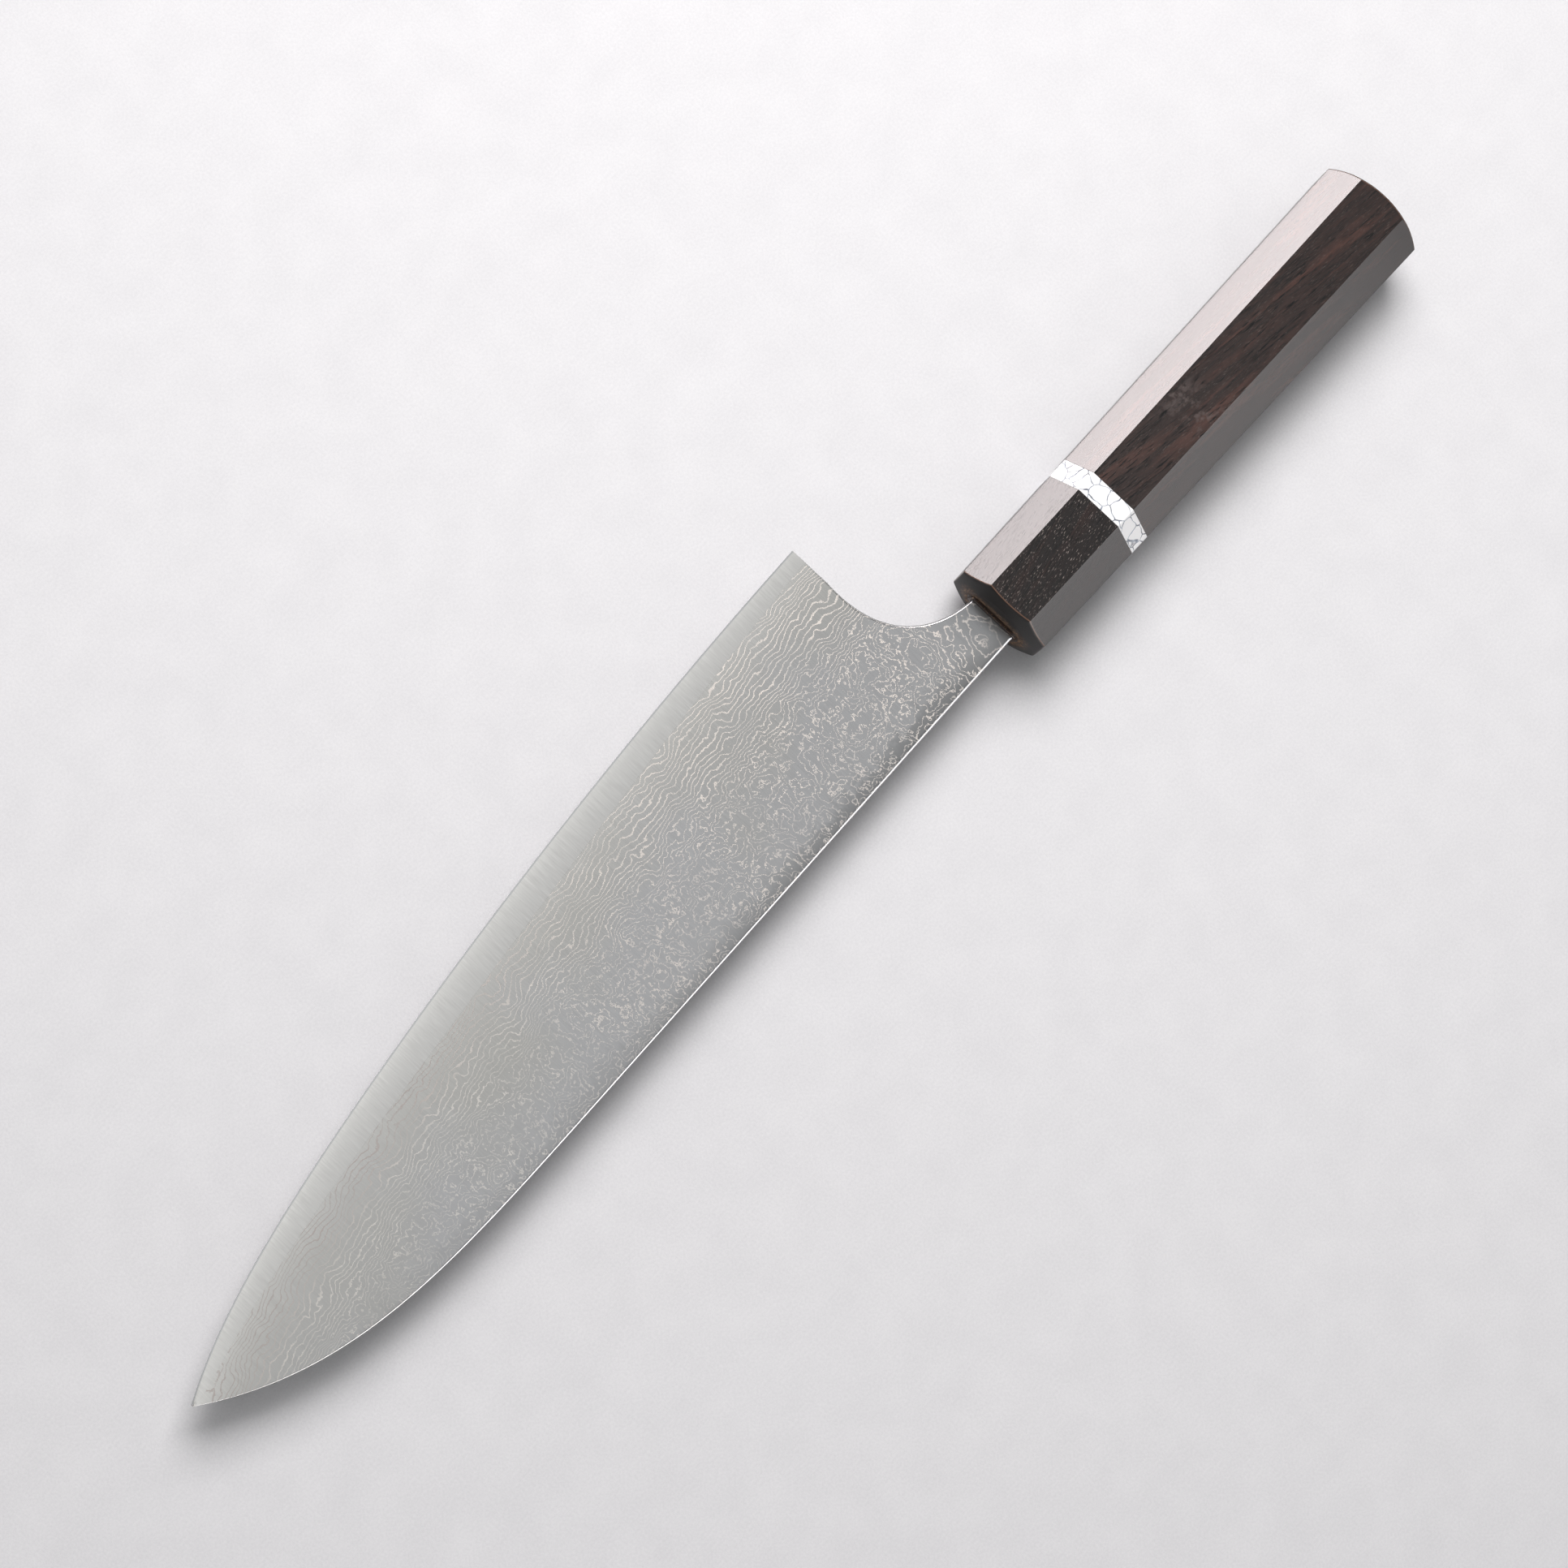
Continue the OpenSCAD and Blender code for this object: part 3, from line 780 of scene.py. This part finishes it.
# a lighter grey patch on the top and bottom flats: where along the handle, and one over its half
# length
FLAT_PATCH_X = -66.0
FLAT_PATCH_SHARPNESS = 0.2
# how strongly each pore shows in the polish, and the depth and strength of the relief
PORE_ROUGH = 0.9
WOOD_DEPTH = 0.02 * MM
WOOD_STRENGTH = 0.35


def beside_mouth(g, y, z):
    """Distance from the straight middle line of the ferrule's mouth."""
    past_end = g.sub(g.math("ABSOLUTE", g.sub(y, (NECK_TOP - NECK_BOTTOM) / 2)),
                     (MOUTH_WIDTH - MOUTH_HEIGHT) / 2)
    past_end = g.math("MAXIMUM", past_end, 0.0)
    return g.math("SQRT", g.add(g.math("POWER", past_end, 2.0), g.math("POWER", z, 2.0)))


def ebony(name, dark, brown, streaks, pores, specks, relief, bevel_relief, turn, rough):
    """Near-black wood: red-brown streaks, short pores and light specks along the grain, which
    runs at turn degrees to the handle. Relief is how open the pores are on the top and bottom
    flats, and bevel_relief on the other sides."""
    material, g = new_material(name)
    p = g.place()
    x, y, z = g.xyz(p)
    grain = g.stretch(p, (1, 1, 1), turn=(0, 0, math.radians(turn)))
    broad = g.noise(g.stretch(grain, (0.022, 0.3, 0.3)), 1.0, 4.0, 0.62, 0.4)
    fibre = g.noise(g.stretch(grain, (0.09, 3.5, 3.5)), 1.0, 3.0, 0.65)
    band = g.noise(g.stretch(grain, (0.05, 0.45, 0.45), shift=(8, 3, 1)), 1.0, 1.0)
    dash = g.noise(g.stretch(grain, (0.26, 4.6, 4.6), shift=(5, 9, 2)), 1.0, 1.0, 0.5)
    dot = g.noise(g.stretch(grain, (1.0, 5.5, 5.5), shift=(1, 4, 7)), 1.0, 2.0, 0.5)
    across, _, upward = g.xyz(g.facing())
    across = g.math("ABSOLUTE", across)
    on_flat = g.step(g.math("ABSOLUTE", upward), 0.8, 0.95)
    end_grain_and_shade = g.step(across, 0.35, 0.8)

    # streaks, fibres and the lighter grey patch on the flats
    colour = g.mix(g.mul(g.step(broad, 0.47, 0.74), streaks), dark, brown)
    colour = g.mix(g.line(fibre, 0.35, 0.7, 0.0, 0.33), colour, brown)
    # a lighter grey patch on the top and bottom flats, strongest in the middle of the handle
    along = g.mul(g.sub(x, FLAT_PATCH_X), FLAT_PATCH_SHARPNESS)
    flat_patch = g.math("EXPONENT", g.mul(g.math("POWER", along, 2.0), -1.0))
    flat_patch = g.mul(g.mul(flat_patch, on_flat), g.step(g.noise(p, 0.35, 3.0, 0.65), 0.46, 0.62))
    colour = g.mix(g.mul(flat_patch, 0.6), colour, FLAT_PATCH_GREY)

    # pores in bands, and light specks
    pore = g.mul(g.step(g.add(dash, g.line(band, 0.3, 0.7, -0.08, 0.05)), 0.575, 0.6), pores)
    speck = g.mul(g.step(dot, 0.63, 0.69), g.mul(specks, on_flat))
    colour = g.mix(pore, colour, PORE_BLACK)
    colour = g.mix(speck, colour, SPECK_PALE)

    # the ends: dark end grain with painted shade, a lighter line round the rim that is partly
    # rubbed wear and partly a painted highlight, and resin that seeped from the mouth
    # the end faces drawn darker: the end grain's own colour and painted shade
    colour = g.mix(end_grain_and_shade, colour, END_GRAIN_AND_SHADE)
    # a thin lighter line where the ends turn into the sides: partly rubbed wear, partly a painted
    # highlight on the rounded rim
    rim_wear_and_highlight = g.mul(g.step(across, 0.12, 0.3), g.step(across, 0.6, 0.35))
    colour = g.mix(g.mul(rim_wear_and_highlight, 0.7), colour, RIM_WEAR_AND_HIGHLIGHT)
    seep = g.add(g.step(g.noise(p, 1.6, 3.0, 0.65), 0.46, 0.66), 0.25)
    ragged = g.add(beside_mouth(g, y, z), g.mul(broad, 2.0))
    seep = g.mul(seep, g.step(ragged, 3.8, 8.0, 1.0, 0.0))
    seep = g.mul(seep, g.mul(end_grain_and_shade, g.step(x, -2.0, -1.0)))
    colour = g.mix(seep, colour, SEEP_BROWN)

    rough = g.line(fibre, 0.3, 0.7, rough - 0.005, rough + 0.005)
    open_pore = g.mul(pore, g.blend(on_flat, bevel_relief, relief))
    rough = g.blend(end_grain_and_shade, g.add(rough, g.mul(open_pore, PORE_ROUGH)), 0.6)
    surface = g.sub(g.mul(fibre, 0.02), open_pore)
    g.shader(Base_Color=colour, Roughness=rough,
             Normal=g.bump(surface, WOOD_DEPTH, WOOD_STRENGTH))
    return material


STONE_WHITE = rgb(0.93, 0.93, 0.94)
VEIN_THIN = rgb(0.36, 0.41, 0.49)
VEIN_THICK = rgb(0.05, 0.065, 0.1)
# veins: cells per millimetre, and how far their walls wander, in millimetres
VEIN_SCALE = 0.25
VEIN_DRIFT = 2.0
VEIN_DEPTH = -0.02 * MM


def white_stone():
    """White stone with a web of blue-grey veins."""
    material, g = new_material("white_stone")
    p = g.place()
    shake = g.node("ShaderNodeTexNoise", {"Vector": p, "Scale": 0.3, "Detail": 1.0})
    drift = g.node("ShaderNodeVectorMath", {0: shake.outputs[1], 1: (0.5, 0.5, 0.5)},
                   operation="SUBTRACT").outputs[0]
    drift = g.node("ShaderNodeVectorMath", {0: drift, 3: VEIN_DRIFT}, operation="SCALE").outputs[0]
    moved = g.node("ShaderNodeVectorMath", {0: p, 1: drift}, operation="ADD").outputs[0]
    webs = g.node("ShaderNodeTexVoronoi",
                  {"Vector": moved, "Scale": VEIN_SCALE, "Randomness": 1.0},
                  feature="DISTANCE_TO_EDGE").outputs["Distance"]
    size = g.noise(p, 0.55, 2.0)
    thick = g.line(size, 0.4, 0.65, 0.03, 0.06)
    vein = g.step(webs, g.mul(thick, 0.2), thick, 1.0, 0.0)
    ink = g.mix(g.line(size, 0.4, 0.65), VEIN_THIN, VEIN_THICK)
    colour = g.mix(vein, STONE_WHITE, ink)
    g.shader(Base_Color=colour, Roughness=g.blend(vein, 0.36, 0.5), Specular_IOR_Level=0.5,
             Normal=g.bump(vein, VEIN_DEPTH))
    return material


RESIN_DARK = rgb(0.016, 0.009, 0.007)
RESIN_BROWN = rgb(0.05, 0.024, 0.015)
RESIN_GOLD = rgb(0.28, 0.15, 0.06)
RESIN_DEPTH = 0.15 * MM


def sealant():
    """Dark resin with gold and brown specks, where the tang goes into the handle."""
    material, g = new_material("sealant_resin")
    p = g.place()
    grit = g.noise(p, 2.2, 3.0, 0.65)
    cloud = g.noise(p, 0.5, 2.0)
    colour = g.mix(cloud, RESIN_DARK, RESIN_BROWN)
    colour = g.mix(g.step(grit, 0.56, 0.66), colour, RESIN_GOLD)
    g.shader(Base_Color=colour, Roughness=g.line(cloud, 0.3, 0.7, 0.3, 0.5),
             Normal=g.bump(grit, RESIN_DEPTH, 0.6))
    return material


DOWEL_PALE = rgb(0.52, 0.36, 0.21)
DOWEL_BROWN = rgb(0.38, 0.24, 0.13)
DOWEL_DEPTH = 0.05 * MM


def pale_wood():
    """The hidden dowel's plain wood."""
    material, g = new_material("dowel_wood")
    p = g.place()
    grain = g.noise(g.stretch(p, (0.05, 1.2, 1.2)), 1.0, 3.0, 0.6)
    colour = g.mix(grain, DOWEL_PALE, DOWEL_BROWN)
    g.shader(Base_Color=colour, Roughness=g.line(grain, 0.3, 0.7, 0.55, 0.7),
             Normal=g.bump(grain, DOWEL_DEPTH, 0.5))
    return material


def paint(obj, material):
    """Gives an object its only material."""
    obj.data.materials.clear()
    obj.data.materials.append(material)


steel = damascus()
paint(clad_right, steel)
paint(clad_left, steel)
paint(core, core_steel())
paint(PIECES["handle_body"],
      ebony("ebony_body", dark=rgb(0.0145, 0.0105, 0.0098), brown=rgb(0.066, 0.029, 0.022),
            streaks=1.0, pores=1.0, specks=0.2, relief=0.5, bevel_relief=0.0, turn=7,
            rough=0.24))
paint(PIECES["ferrule"],
      ebony("ebony_ferrule", dark=rgb(0.006, 0.005, 0.005), brown=rgb(0.026, 0.0095, 0.007),
            streaks=0.9, pores=0.8, specks=0.9, relief=0.3, bevel_relief=0.05, turn=-10,
            rough=0.27))
paint(PIECES["spacer_ring"], white_stone())
paint(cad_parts["tang_sealant"], sealant())
paint(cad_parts["dowel"], pale_wood())

# ---------------------------------------------------------------- floor
FLOOR_HALF = 4.0
# just under the knife, so that it doesn't touch the floor's face
FLOOR_Z = -0.00002
PAPER_DARK = rgb(0.72, 0.72, 0.74)
PAPER_LIGHT = rgb(0.79, 0.79, 0.808)
PAPER_DEPTH = 0.0002


def paper():
    """Matt white paper with a fine fibre."""
    material, g = new_material("floor_paper")
    co = g.node("ShaderNodeTexCoord").outputs["Object"]
    fibre = g.noise(co, 1600.0, 3.0, 0.65)
    cloud = g.noise(co, 90.0, 2.0, 0.5)
    share = g.add(g.mul(fibre, 0.7), g.mul(cloud, 0.3))
    colour = g.mix(g.line(share, 0.35, 0.65), PAPER_DARK, PAPER_LIGHT)
    g.shader(Base_Color=colour, Roughness=0.9, Specular_IOR_Level=0.1,
             Normal=g.bump(fibre, PAPER_DEPTH, 0.2))
    return material


mesh = bpy.data.meshes.new("floor")
corners = [(-FLOOR_HALF, -FLOOR_HALF), (FLOOR_HALF, -FLOOR_HALF), (FLOOR_HALF, FLOOR_HALF),
           (-FLOOR_HALF, FLOOR_HALF)]
mesh.from_pydata([(a, b, FLOOR_Z) for a, b in corners], [], [(0, 1, 2, 3)])
floor = bpy.data.objects.new("floor", mesh)
bpy.context.scene.collection.objects.link(floor)
paint(floor, paper())

# ---------------------------------------------------------------- camera
# the place is in millimetres in the knife's frame, and the three ways are at right angles
CAMERA_AT = Vector((290.51, -30.24, 914.79))
CAMERA_RIGHT = Vector((-0.65882, 0.73090, 0.17817))
CAMERA_DOWN = Vector((0.71341, 0.68215, -0.16035))
CAMERA_AIM = Vector((-0.23874, 0.02147, -0.97085))
SENSOR = 36.0
LENS = 93.17
CLIP_NEAR = 0.01
CLIP_FAR = 100

camera_data = bpy.data.cameras.new("camera")
camera_data.sensor_width = SENSOR
camera_data.lens = LENS
camera_data.clip_start = CLIP_NEAR
camera_data.clip_end = CLIP_FAR
camera = bpy.data.objects.new("camera", camera_data)
bpy.context.scene.collection.objects.link(camera)
turn = Matrix((CAMERA_RIGHT, -CAMERA_DOWN, -CAMERA_AIM)).transposed().to_4x4()
camera.matrix_world = Matrix.Translation(ORIGIN + CAMERA_AT * MM) @ turn
bpy.context.scene.camera = camera

# ---------------------------------------------------------------- light
# the way along the floor that is up in the camera's view, and the middle of the knife
PHOTO_UP = Vector((-CAMERA_DOWN.x, -CAMERA_DOWN.y, 0)).normalized()
MIDDLE = ORIGIN + Vector((65, -10, 0)) * MM


def area_light(name, at, aim, size, radiance, colour):
    """A soft panel at a place, facing another, with a given brightness."""
    data = bpy.data.lights.new(name, "AREA")
    data.shape = "RECTANGLE"
    data.size, data.size_y = size
    data.energy = radiance * math.pi * size[0] * size[1]
    data.color = colour
    obj = bpy.data.objects.new(name, data)
    bpy.context.scene.collection.objects.link(obj)
    obj.location = at
    obj.rotation_mode = "QUATERNION"
    obj.rotation_quaternion = (aim - at).to_track_quat("-Z", "Y")
    obj.visible_camera = False
    return obj


# the key panel casts the shadow and lights the floor, but isn't seen in the polish
KEY_TILT = math.radians(31)
KEY_FAR = 0.95
key_at = MIDDLE + (PHOTO_UP * math.sin(KEY_TILT) + Vector((0, 0, math.cos(KEY_TILT)))) * KEY_FAR
key = area_light("key", key_at, MIDDLE, size=(0.6, 0.6), radiance=7.9,
                 colour=(1.0, 0.97, 0.965))
key.visible_glossy = False

# the low panel is only a reflection, in the handle's bevels on the edge's side
LOW_FAR = 1.3
LOW_RISE = Vector((0, 0, 0.12))
LOW_WAY = Vector((-0.38, -0.92, 0)).normalized()
low_at = ORIGIN + Vector((-70, 0, 0)) * MM + LOW_WAY * LOW_FAR + LOW_RISE
low = area_light("low", low_at, MIDDLE + LOW_RISE, size=(1.6, 0.28), radiance=22.0,
                 colour=(1.0, 0.92, 0.922))
low.visible_diffuse = False

# the side panel is only a reflection too, along the spine and in the bevels on its side
SIDE_AT = ORIGIN + Vector((380, 1200, 420)) * MM
side = area_light("side", SIDE_AT, SIDE_AT - Vector((0, 1, 0)), size=(2.1, 0.95), radiance=4.4,
                  colour=(1.0, 0.97, 0.97))
side.visible_diffuse = False

# the room: how bright its walls are, and where and how much brighter it is overhead
ROOM_COLOUR = rgb(0.99, 0.99, 0.985)
ROOM_LEVEL = 0.27
GLOW_LEVEL = 0.8
GLOW_WAY = Vector((-0.12, -0.15, 0.98)).normalized()
GLOW_EDGE = 0.89


def world_light():
    """A soft room: dim walls and a glow overhead."""
    world = bpy.data.worlds.new("room")
    bpy.context.scene.world = world
    world.use_nodes = True
    g = Graph(world.node_tree)
    way = g.node("ShaderNodeTexCoord").outputs["Generated"]
    glow = g.node("ShaderNodeVectorMath", {0: way, 1: GLOW_WAY}, operation="DOT_PRODUCT")
    glow = g.step(glow.outputs[1], GLOW_EDGE, 1.0)
    level = g.add(ROOM_LEVEL, g.mul(glow, GLOW_LEVEL))
    background = g.node("ShaderNodeBackground", {0: ROOM_COLOUR, 1: level})
    g.node("ShaderNodeOutputWorld", {0: background.outputs[0]})


world_light()
bpy.context.scene.view_settings.view_transform = "Standard"
